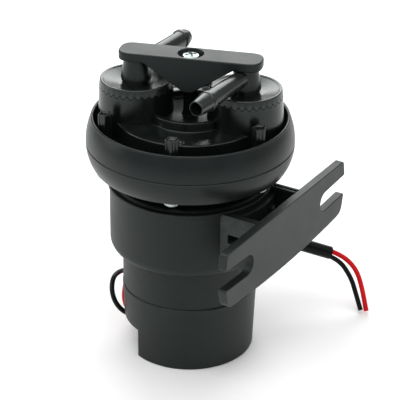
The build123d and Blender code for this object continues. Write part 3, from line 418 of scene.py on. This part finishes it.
# Which CAD nodes wear which material.
CAD_NODES = {
    "body": ["motor_end_cap", "gear_housing", "wire_clip"],
    "rubber": ["wire_grommet", "diaphragm", "inlet_cap_seal", "outlet_cap_seal"],
    "sheet": ["motor_can"],
    "nylon": ["motor_end_plate", "crank_gear", "inlet_seat", "outlet_seat"],
    "steel": [
        "rotor_shaft", "motor_pinion", "crankshaft", "rod_bearing_inner", "rod_bearing_outer",
        "rod_bearing_balls", "brush_springs",
    ],
    "core": ["armature_core"],
    "copper": ["armature_windings", "commutator"],
    "alloy": ["eccentric", "connecting_rod", "lower_plate", "upper_plate"],
    "ring": ["pump_base", "cover_ring"],
    "deck": ["valve_deck"],
    "bronze": ["pillar_insert", "motor_bushes", "brush_holders", "crank_bushes"],
    "zinc": ["diaphragm_screw", "yoke_screw", "end_cap_screws", "motor_screws", "ring_screws"],
    "flap": ["inlet_flap", "outlet_flap"],
    "cap": ["inlet_cap", "outlet_cap"],
    "yoke": ["yoke"],
    "bracket": ["bracket"],
    "wire_black": ["wire_black"],
    "wire_red": ["wire_red"],
    "sleeve": ["wire_sleeve"],
    "ferrite": ["motor_magnets"],
    "graphite": ["motor_brushes"],
    "blackened": ["bracket_screws"],
}


def finish_cad_nodes(materials):
    for finish, nodes in CAD_NODES.items():
        for node in nodes:
            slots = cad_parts[node].data.materials
            slots.clear()
            slots.append(materials[finish])


# ---- mesh helpers ----
SMOOTH_ANGLE = 33.0
WELD_DISTANCE = 1e-4


def soften(corners, steps=4):
    """Rounds the corners of a closed outline. A corner is (x, y) or (x, y, how far back its curve starts)."""
    smooth = []
    for index, corner in enumerate(corners):
        here = Vector(corner[:2])
        if len(corner) < 3:
            smooth.append(here)
            continue
        before = Vector(corners[index - 1][:2])
        after = Vector(corners[(index + 1) % len(corners)][:2])
        start = here + (before - here).normalized() * corner[2]
        end = here + (after - here).normalized() * corner[2]
        for step in range(steps + 1):
            share = step / steps
            smooth.append(start * (1 - share) ** 2 + here * 2 * share * (1 - share) + end * share**2)
    return smooth


def bridge(bm, low, high):
    """Faces between two rings of vertices. A ring of one vertex is a pole."""
    count = max(len(low), len(high))
    for index in range(count):
        after = (index + 1) % count
        if len(low) == 1:
            bm.faces.new((low[0], high[after], high[index]))
        elif len(high) == 1:
            bm.faces.new((low[index], low[after], high[0]))
        else:
            bm.faces.new((low[index], low[after], high[after], high[index]))


def add_turned(bm, corners, matrix=None, segments=128, shift=None):
    """Adds a surface turned about Z from a closed (radius, height) outline.
    shift gives how much a point at an angle, radius and height is lifted."""
    place = matrix or Matrix.Identity(4)
    rings = []
    for radius, height in soften(corners):
        ring = []
        for index in range(1 if radius < 1e-6 else segments):
            angle = 2 * math.pi * index / segments
            lift = shift(angle, radius, height) if shift else 0.0
            point = Vector((radius * math.cos(angle), radius * math.sin(angle), height + lift))
            ring.append(bm.verts.new(place @ (point * MM)))
        rings.append(ring)
    for low, high in zip(rings, rings[1:] + rings[:1]):
        if len(low) > 1 or len(high) > 1:
            bridge(bm, low, high)


def inset(outline, distance):
    """A closed outline moved inwards by distance, corners mitred. The outline runs anticlockwise."""
    moved = []
    count = len(outline)
    for index, here in enumerate(outline):
        back = (here - outline[index - 1]).normalized()
        ahead = (outline[(index + 1) % count] - here).normalized()
        middle = Vector((-back.y - ahead.y, back.x + ahead.x))
        if middle.length < 1e-9:
            moved.append(here.copy())
            continue
        middle.normalize()
        slant = max(0.3, middle.dot(Vector((-back.y, back.x))))
        moved.append(here + middle * distance / slant)
    return moved


def add_prism(bm, outline, bottom, top, matrix=None, edge=0.5, steps=3):
    """Adds an outline raised from bottom to top with rounded edges, placed by matrix."""
    place = matrix or Matrix.Identity(4)
    stations = []
    for step in range(steps + 1):
        angle = math.pi / 2 * step / steps
        stations.append((edge * (1 - math.sin(angle)), bottom + edge * (1 - math.cos(angle))))
    stations += [(cut, bottom + top - height) for cut, height in reversed(stations)]
    rings = []
    for cut, height in stations:
        points = inset(outline, cut) if cut > 1e-6 else outline
        rings.append([bm.verts.new(place @ (Vector((p.x, p.y, height)) * MM)) for p in points])
    for low, high in zip(rings, rings[1:]):
        bridge(bm, low, high)
    bm.faces.new(list(reversed(rings[0])))
    bm.faces.new(rings[-1])


def even_shading(obj):
    """Lets large flat faces keep their own normal next to narrow rounded edges."""
    weigh = obj.modifiers.new("even_shading", "WEIGHTED_NORMAL")
    weigh.keep_sharp = True
    weigh.weight = 100


def add_piece(name, bm, body, material, replaces=(), smooth_angle=SMOOTH_ANGLE):
    """Turns a finished bmesh into a piece that rides on a body."""
    bmesh.ops.remove_doubles(bm, verts=bm.verts, dist=WELD_DISTANCE * MM)
    bmesh.ops.recalc_face_normals(bm, faces=bm.faces)
    mesh = bpy.data.meshes.new(name)
    bm.to_mesh(mesh)
    bm.free()
    mesh.shade_smooth()
    mesh.set_sharp_from_angle(angle=math.radians(smooth_angle))
    mesh.materials.append(material)
    obj = bpy.data.objects.new(name, mesh)
    bpy.context.scene.collection.objects.link(obj)
    even_shading(obj)
    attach(obj, body)
    for node in replaces:
        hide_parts(node)
    return obj


# ---- the wires ----
WIRE_DIAMETER = 3.5

BLACK_ROUTE = [
    (-29.8, -14.4, 14.8),
    (-37.5, -19.1, 14.8),
    (-41.5, -29.6, 26.5),
    (-47.6, -27.5, 36.9),
    (-52.2, -16.2, 43.5),
    (-55.6, 9.7, 33.6),
    (-53.5, 29.0, 55.0),
    (-36.0, 41.8, 60.8),
    (-10.5, 52.5, 60.8),
    (14.4, 63.5, 55.2),
    (39.5, 81.1, 47.0),
    (64.0, 100.3, 35.2),
    (76.3, 99.0, 23.4),
    (82.8, 95.8, 12.0),
    (88.4, 92.8, 2.2),
]

RED_ROUTE = [
    (-32.1, -10.6, 14.8),
    (-39.4, -14.6, 14.8),
    (-44.6, -15.1, 20.3),
    (-49.0, -9.0, 29.0),
    (-48.6, 7.5, 57.5),
    (-46.9, 21.0, 65.2),
    (-34.5, 40.1, 66.3),
    (-10.2, 52.4, 65.6),
    (14.6, 63.7, 58.9),
    (40.2, 81.8, 50.6),
    (64.7, 101.0, 38.8),
    (78.5, 101.3, 30.9),
    (86.3, 98.5, 17.0),
    (92.3, 94.0, 2.2),
]


def make_wire(name, node, route, material):
    curve = bpy.data.curves.new(name, "CURVE")
    curve.dimensions = "3D"
    curve.bevel_depth = WIRE_DIAMETER / 2 * MM
    curve.bevel_resolution = 5
    curve.resolution_u = 10
    curve.use_fill_caps = True
    spline = curve.splines.new("NURBS")
    spline.points.add(len(route) - 1)
    for point, spot in zip(spline.points, route):
        point.co = (*(Vector(spot) * MM), 1.0)
    spline.order_u = 3
    spline.use_endpoint_u = True
    curve.materials.append(material)
    obj = bpy.data.objects.new(name, curve)
    bpy.context.scene.collection.objects.link(obj)
    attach(obj, "body")
    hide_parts(node)
    return obj


def make_wires(materials):
    sleeve = make_sleeve(materials["sleeve"])
    black = make_wire("black_wire", "wire_black", BLACK_ROUTE, materials["wire_black"])
    red = make_wire("red_wire", "wire_red", RED_ROUTE, materials["wire_red"])


BLACK_SLEEVE_RUN = 10
RED_SLEEVE_RUN = 9
SLEEVE_FROM = 0.05
SLEEVE_TO = 0.82
SLEEVE_RADIUS = 4.65
SLEEVE_BORE = 3.75


def make_sleeve(material):
    """The plain round tube that gathers both wires."""
    start = (Vector(BLACK_ROUTE[BLACK_SLEEVE_RUN]) + Vector(RED_ROUTE[RED_SLEEVE_RUN])) / 2
    end = (Vector(BLACK_ROUTE[BLACK_SLEEVE_RUN + 1]) + Vector(RED_ROUTE[RED_SLEEVE_RUN + 1])) / 2
    along = end - start
    length = along.length * (SLEEVE_TO - SLEEVE_FROM)
    turn = along.to_track_quat("Z", "Y").to_matrix().to_4x4()
    place = Matrix.Translation((start + along * SLEEVE_FROM) * MM) @ turn
    outline = [
        (SLEEVE_BORE, 0, 0.2),
        (SLEEVE_RADIUS, 0, 0.3),
        (SLEEVE_RADIUS, length, 0.3),
        (SLEEVE_BORE, length, 0.2),
    ]
    bm = bmesh.new()
    add_turned(bm, outline, place, 64)
    return add_piece("wire_tube", bm, "body", material, ["wire_sleeve"])


# ---- the valve deck with its toothed cups ----
CUP_BORE = 22.2
LEDGE_HEIGHT = 181.0
LEDGE_BORE = 20.5
CUP_FLOOR = 168.0
PORT_RADIUS = 8.0
POST_COUNT = 6
POST_RADIUS = 3.9
POST_TOP = 181.0
FLUTE_COUNT = 5
FLUTE_RISE = 0.24
BOSS_FOOT = 29.0


def zigzag(angle):
    """The height of the toothed seam above its middle at an angle in the cup's own frame."""
    share = angle * TOOTH_COUNT / (2 * math.pi) % 1.0
    return TOOTH_RISE * (abs(share * 2 - 1) * 2 - 1)


def cup_place(side):
    """side +1 is the outlet's cup, -1 the inlet's."""
    return Matrix.Rotation(HEAD_TURN, 4, "Z") @ Matrix.Translation((side * CUP_OFFSET * MM, 0, 0))


def add_cup(bm, side):
    """A cup: the wall with its toothed rim, the ledge and floor inside, and the port in the floor."""
    top = CUP_RIM
    corners = [
        (27.2, MOAT_FLOOR - 1),
        (26.3, MOAT_FLOOR + 1.5, 1.0),
        (25.9, MOAT_FLOOR + 6),
        (25.2, top - 12),
        (24.75, top - 2.0),
        (CUP_RADIUS, top),
        (22.9, top),
        (CUP_BORE, top - 1.4),
        (CUP_BORE, LEDGE_HEIGHT),
        (LEDGE_BORE, LEDGE_HEIGHT),
        (LEDGE_BORE, CUP_FLOOR),
        (PORT_RADIUS, CUP_FLOOR),
        (PORT_RADIUS, MOAT_FLOOR + 4),
        (20.0, MOAT_FLOOR - 1),
    ]

    def teeth(angle, radius, height):
        return zigzag(angle) if radius > 22.5 and height > top - 0.5 else 0.0

    add_turned(bm, corners, cup_place(side), TOOTH_COUNT * 8, teeth)


def post_turns():
    apart = 360 / POST_COUNT
    return [HEAD_TURN + POST_TURN + math.radians(apart * index) for index in range(POST_COUNT)]


def add_post(bm, angle):
    """A fluted screw post with a dished top."""
    place = Matrix.Rotation(angle, 4, "Z") @ Matrix.Translation((POST_CIRCLE * MM, 0, 0))
    profile = [
        (0, MOAT_FLOOR - 1),
        (POST_RADIUS, MOAT_FLOOR - 1),
        (POST_RADIUS, POST_TOP, 0.35),
        (3.2, POST_TOP, 0.3),
        (2.6, 180.2, 0.4),
        (0, 180.0),
    ]

    def flutes(turn, radius):
        ripple = max(0.0, math.cos(FLUTE_COUNT * turn)) ** 0.7
        return radius * (1 + FLUTE_RISE * ripple) if radius > 3.0 else radius

    rings = []
    segments = 100
    for radius, height in soften(profile):
        ring = []
        for index in range(1 if radius < 1e-6 else segments):
            turn = 2 * math.pi * index / segments
            reach = flutes(turn, radius)
            point = Vector((reach * math.cos(turn), reach * math.sin(turn), height))
            ring.append(bm.verts.new(place @ (point * MM)))
        rings.append(ring)
    for low, high in zip(rings, rings[1:]):
        bridge(bm, low, high)


def open_under_cups(piece):
    """Takes the deck away inside both cups, where the valve flaps bend down."""
    radius = 23.0
    floor = 165.5
    top = 186.0
    hollows = bmesh.new()
    for side in (-1, 1):
        add_turned(hollows, [(0, floor), (radius, floor), (radius, top), (0, top)], cup_place(side), 96)
    carve(piece, hollows)


def make_valve_deck(material):
    bm = bmesh.new()
    deck = [
        (0, 164.0),
        (32, 164.0),
        (45, 157.0),
        (49.5, 150.6),
        (66.4, 150.6),
        (66.4, 154.0),
        (64.1, 154.0),
        (64.1, MOAT_FLOOR, 1.0),
        (51.5, MOAT_FLOOR, 1.2),
        (50.0, DECK_TOP, 0.9),
        (46.6, DECK_TOP, 0.8),
        (45.6, DECK_TOP - 0.6, 0.6),
        (30.5, DECK_TOP - 0.6, 1.0),
        (BOSS_FOOT, DECK_TOP - 0.2, 0.5),
        (28.2, DECK_TOP + BOSS_HEIGHT - 0.4, 0.8),
        (25.6, DECK_TOP + BOSS_HEIGHT, 0.8),
        (23.6, DECK_TOP + 2.4, 1.0),
        (5.6, DECK_TOP + 0.6, 1.0),
        (4.9, DECK_TOP + 4.0, 1.0),
        (4.6, 191.9, 0.5),
        (3.3, 191.9),
        (3.3, 178.5),
        (0, 178.5),
    ]
    add_turned(bm, deck, None, 192)
    piece = add_piece("valve_deck_moulding", bm, "body", material, ["valve_deck"])
    open_under_cups(piece)
    bm = bmesh.new()
    bm.from_mesh(piece.data)
    for side in (-1, 1):
        add_cup(bm, side)
    for angle in post_turns():
        add_post(bm, angle)
    bmesh.ops.recalc_face_normals(bm, faces=bm.faces)
    bm.to_mesh(piece.data)
    bm.free()
    piece.data.shade_smooth()
    piece.data.set_sharp_from_angle(angle=math.radians(SMOOTH_ANGLE))


# ---- the caps with their hose tails ----
PLUG_RADIUS = 20.3
PLUG_BORE = 18.0
PLUG_FOOT = 184.2
BARB_RADIUS = 6.8
BARB_LAND = 2.5
BORE_RADIUS = 3.6
MOUTH_RADIUS = 4.4


def add_hose_tail(bm, place, barb, tip):
    """A hollow nozzle along Z from its root at zero, with one barb starting at barb."""
    corners = [
        (0, 0),
        (5.5, 0),
        (6.0, barb - 4, 2.0),
        (6.15, barb - 0.4, 0.2),
        (BARB_RADIUS, barb, 0.25),
        (BARB_RADIUS, barb + BARB_LAND, 0.3),
        (6.25, barb + 3.0, 0.3),
        (5.7, (barb + tip) / 2 + 1.5),
        (5.0, tip - 0.6, 0.5),
        (4.7, tip, 0.25),
        (MOUTH_RADIUS, tip, 0.1),
        (4.3, tip - 6),
        (BORE_RADIUS, tip - 14),
        (BORE_RADIUS, 9.5),
        (0, 9.5),
    ]
    add_turned(bm, corners, place, 96)


def make_cap(name, side, turn, barb, tip, body, node, material):
    """A cap: toothed skirt, dished top, a plug down into the cup, a swelling peg and a barbed hose tail."""
    seam = CUP_RIM + SEAM_GAP
    bm = bmesh.new()
    base = cup_place(side)
    skirt = [
        (0, seam + 0.2),
        (22.6, seam + 0.2),
        (CUP_RADIUS, seam),
        (24.5, seam + 1.7),
        (23.95, 195.6, 0.7),
        (22.5, 195.5, 0.6),
        (21.6, 195.0, 0.5),
        (12.2, 192.5, 1.0),
        (9.3, 192.3),
        (0, 192.3),
    ]

    def teeth(angle, radius, height):
        return zigzag(angle) if radius > 23 and height < seam + 0.1 else 0.0

    add_turned(bm, skirt, base, TOOTH_COUNT * 8, teeth)
    plug_top = seam + 0.3
    plug = [
        (PLUG_BORE, PLUG_FOOT),
        (PLUG_RADIUS, PLUG_FOOT, 0.4),
        (PLUG_RADIUS, plug_top),
        (PLUG_BORE, plug_top),
    ]
    add_turned(bm, plug, base, 96)
    peg = [
        (0, 190.9),
        (9.2, 190.9),
        (9.3, 192.4, 0.5),
        (10.3, 196.1, 0.7),
        (7.9, 209.5, 0.3),
        (7.5, 209.9, 0.2),
        (0, 209.9),
    ]
    add_turned(bm, peg, base, 96)
    sideways = Matrix.Translation((0, 0, NOZZLE_HEIGHT * MM)) @ Matrix.Rotation(turn - HEAD_TURN, 4, "Z")
    add_hose_tail(bm, base @ sideways @ Matrix.Rotation(math.pi / 2, 4, "Y"), barb, tip)
    piece = add_piece(name, bm, body, material, [node])


# ---- the yoke ----
def make_yoke(material):
    """A round-ended bar with a V web below, a countersunk well and side pockets."""
    half = 48.0
    wide = 10.5
    reach = 31.0
    apex = 192.3
    web_wall = 2.4
    bm = bmesh.new()
    turn = Matrix.Rotation(HEAD_TURN, 4, "Z")
    corner = 9.2
    plan = [(-half, -wide, corner), (half, -wide, corner), (half, wide, corner), (-half, wide, corner)]
    plan = soften(plan, 12)
    under = YOKE_UNDERSIDE
    add_prism(bm, plan, under, YOKE_TOP, turn, 1.1, 5)
    web = soften(
        [
            (-reach, under + 1),
            (-3.0, apex, 2.0),
            (3.0, apex, 2.0),
            (reach, under + 1),
            (reach - 4, under + 3),
            (4 - reach, under + 3),
        ]
    )
    upright = turn @ Matrix.Rotation(math.pi / 2, 4, "X")
    for front, back in ((-wide, -wide + web_wall), (wide - web_wall, wide)):
        add_prism(bm, web, front, back, upright, 0.5)
    core = [(0, apex), (5.6, apex, 0.6), (9.5, under + 1), (0, under + 1)]
    add_turned(bm, core, turn, 64)
    piece = add_piece("yoke_bar", bm, "body", material, ["yoke"])
    well = bmesh.new()
    seat = YOKE_TOP - YOKE_SINK
    well_wall = [(0, seat), (7.3, seat), (8.4, YOKE_TOP - 0.6), (9.2, YOKE_TOP + 0.6), (0, YOKE_TOP + 0.6)]
    add_turned(well, well_wall, turn, 64)
    carve(piece, well)


def carve(piece, cutter):
    """Cuts a closed bmesh out of a piece and keeps the result as its mesh."""
    bmesh.ops.remove_doubles(cutter, verts=cutter.verts, dist=WELD_DISTANCE * MM)
    bmesh.ops.recalc_face_normals(cutter, faces=cutter.faces)
    mesh = bpy.data.meshes.new("cutter")
    cutter.to_mesh(mesh)
    cutter.free()
    tool = bpy.data.objects.new("cutter", mesh)
    bpy.context.scene.collection.objects.link(tool)
    piece.modifiers.clear()
    cut = piece.modifiers.new("cut", "BOOLEAN")
    cut.operation = "DIFFERENCE"
    cut.solver = "EXACT"
    cut.use_self = True
    cut.object = tool
    depsgraph = bpy.context.evaluated_depsgraph_get()
    result = bpy.data.meshes.new_from_object(piece.evaluated_get(depsgraph))
    piece.modifiers.remove(cut)
    piece.data = result
    bpy.data.objects.remove(tool)
    result.shade_smooth()
    result.set_sharp_from_angle(angle=math.radians(SMOOTH_ANGLE))
    even_shading(piece)


# ---- screws ----
SCREW_SMOOTH_ANGLE = 40.0
RECESS_TURN = math.radians(22)


def add_cross_screw(bm, place, head, height, shank, length):
    """A pan-head screw, head up, its cross recess pressed in by lowering the top's middle."""
    segments = 96
    reach = head * 0.56
    half_width = head * 0.13
    dome = [
        (0, -length),
        (shank * 0.5, -length),
        (shank, -length + shank),
        (shank, 0),
        (head - 0.3, 0, 0.2),
        (head, 0.5, 0.3),
        (head * 0.96, height * 0.45),
        (head * 0.80, height * 0.82),
    ]
    dome += [(head * share / 40, height * (1 - 0.28 * (share / 40) ** 2)) for share in range(30, 0, -1)]
    dome.append((0, height))

    def recess(angle, radius, level):
        if level < height * 0.6 or radius > reach:
            return 0.0
        x = abs(radius * math.cos(angle))
        y = abs(radius * math.sin(angle))
        inside = min(x, y) < half_width and max(x, y) < reach
        return -height * 0.55 * (1 - max(x, y) / reach * 0.5) if inside else 0.0

    add_turned(bm, dome, place, segments, recess)


def make_yoke_screw(material):
    bm = bmesh.new()
    turn = Matrix.Rotation(HEAD_TURN + RECESS_TURN, 4, "Z")
    place = turn @ Matrix.Translation((0, 0, (YOKE_TOP - YOKE_SINK) * MM))
    add_cross_screw(bm, place, head=6.7, height=4.1, shank=2.35, length=30.9)
    piece = add_piece("yoke_fixing", bm, "body", material, ["yoke_screw"], smooth_angle=SCREW_SMOOTH_ANGLE)


def make_ring_screws(material):
    bm = bmesh.new()
    for angle in post_turns():
        place = Matrix.Rotation(angle, 4, "Z") @ Matrix.Translation((POST_CIRCLE * MM, 0, RING_FOOT * MM))
        upside_down = place @ Matrix.Rotation(math.pi, 4, "X")
        add_cross_screw(bm, upside_down, head=6.2, height=3.4, shank=2.3, length=36.0)
    piece = add_piece("ring_fixings", bm, "body", material, ["ring_screws"], smooth_angle=SCREW_SMOOTH_ANGLE)


# ---- the bracket ----
SLOT_TILT = math.radians(3.0)
SLOT_HEIGHT = 104.8
SLOT_WIDTH = 14.0
PLATE_THICK = 6.0
SADDLE_BORE = 54.4
SADDLE_RADIUS = 58.5
ARM_END = PLATE_FACE - 5.5
ARM_FOOT = 86.0
NEAR_ARM_TOP = 124.2
FAR_ARM_TOP = 125.2
GROOVE_DEPTH = 3.0
SHELF_THICK = 3.0


def plate_outline():
    """The plate seen from its face, as (y, z), anticlockwise, with a tilted open slot at each end."""
    top, bottom, half = 124.6, 84.6, PLATE_HALF_LENGTH
    round_end = 53.0
    radius = SLOT_WIDTH / 2
    right = [(half - 3.4, bottom + 0.4, 6.0)]
    mouth = SLOT_HEIGHT + math.tan(SLOT_TILT) * (half - round_end)
    right.append((half - 0.2, mouth - radius, 1.8))
    end = []
    for step in range(17):
        angle = -math.pi / 2 - math.pi * step / 16 + SLOT_TILT
        end.append((round_end + radius * math.cos(angle), SLOT_HEIGHT + radius * math.sin(angle)))
    right += end
    right.append((half, mouth + radius, 1.8))
    right.append((half - 2.0, top, 2.4))
    left = [(-corner[0], *corner[1:]) for corner in reversed(right)]
    belly = []
    for step in range(1, 16):
        share = step / 16 * 2 - 1
        belly.append((share * (half - 3.4), bottom + 0.4 - 3.9 * (1 - share * share)))
    return soften(right + left + belly)


def arc(radius, start, sweep, steps=12):
    """Points on a circle about the body's axis, the angles in degrees."""
    turns = [math.radians(start + sweep * step / steps) for step in range(steps + 1)]
    return [Vector((radius * math.cos(turn), radius * math.sin(turn))) for turn in turns]


def on_saddle(along):
    """The point on the saddle at a distance along the plate."""
    return (math.sqrt(SADDLE_BORE * SADDLE_BORE - along * along), along)


def add_near_arm(bm):
    low, high = -33, -28
    outline = soften([on_saddle(low), (ARM_END, low), (ARM_END, high), on_saddle(high)])
    add_prism(bm, outline, ARM_FOOT, NEAR_ARM_TOP, None, 0.5)


def add_far_arm(bm):
    """Two walls with a lower one between them, which leaves a groove along the top."""
    groove_floor = FAR_ARM_TOP - GROOVE_DEPTH
    walls = ((21.8, 24, FAR_ARM_TOP, 0.4), (18, 19.8, FAR_ARM_TOP, 0.4), (19.8, 21.8, groove_floor, 0.1))
    for low, high, top, edge in walls:
        outline = soften([on_saddle(high), on_saddle(low), (ARM_END, low), (ARM_END, high)])
        add_prism(bm, outline, ARM_FOOT, top, None, edge)


def cut_arm_window(piece):
    """The opening through the near arm."""
    low_x, high_x = 49, 57
    low_y, high_y = -35, -26
    sill, head = 104.0, 110.5
    outline = soften([(low_x, low_y), (high_x, low_y), (high_x, high_y), (low_x, high_y)])
    window = bmesh.new()
    add_prism(window, outline, sill, head, None, 0.01, 1)
    carve(piece, window)


def make_bracket(material):
    """The slotted plate, one near arm, a grooved far arm, the shelf below them and the saddle on the body."""
    bm = bmesh.new()
    facing = Matrix(((0, 0, 1, 0), (1, 0, 0, 0), (0, 1, 0, 0), (0, 0, 0, 1)))
    add_prism(bm, plate_outline(), PLATE_FACE - PLATE_THICK, PLATE_FACE, facing, 0.6)
    add_near_arm(bm)
    add_far_arm(bm)
    shelf = [Vector((ARM_END, -32)), *arc(SADDLE_BORE, -36, 61), Vector((ARM_END, 23))]
    add_prism(bm, shelf, ARM_FOOT, ARM_FOOT + SHELF_THICK, None, 0.2)
    saddle = [*arc(SADDLE_RADIUS, -34, 58), *reversed(arc(SADDLE_BORE, -34, 58))]
    add_prism(bm, saddle, 86.5, 121.0, None, 0.4)
    piece = add_piece("wall_bracket", bm, "body", material, ["bracket"])
    cut_arm_window(piece)


# ---- putting it together ----
make_camera()
materials = make_materials()
make_wires(materials)
make_light()
make_floor()
finish_cad_nodes(materials)
# The deck's well round the pillar gets painted shade: its shine is turned down inside the boss foot.
make_valve_deck(painted_shade_centre(materials["deck"], BOSS_FOOT))
outlet = (OUTLET_TURN, OUTLET_BARB, OUTLET_LENGTH)
inlet = (INLET_TURN, INLET_BARB, INLET_LENGTH)
make_cap("outlet_elbow_shell", 1, *outlet, "outlet_elbow", "outlet_cap", materials["cap"])
make_cap("inlet_elbow_shell", -1, *inlet, "inlet_elbow", "inlet_cap", materials["cap"])
make_yoke(materials["yoke"])
make_yoke_screw(materials["zinc"])
make_ring_screws(materials["zinc"])
make_bracket(materials["bracket"])
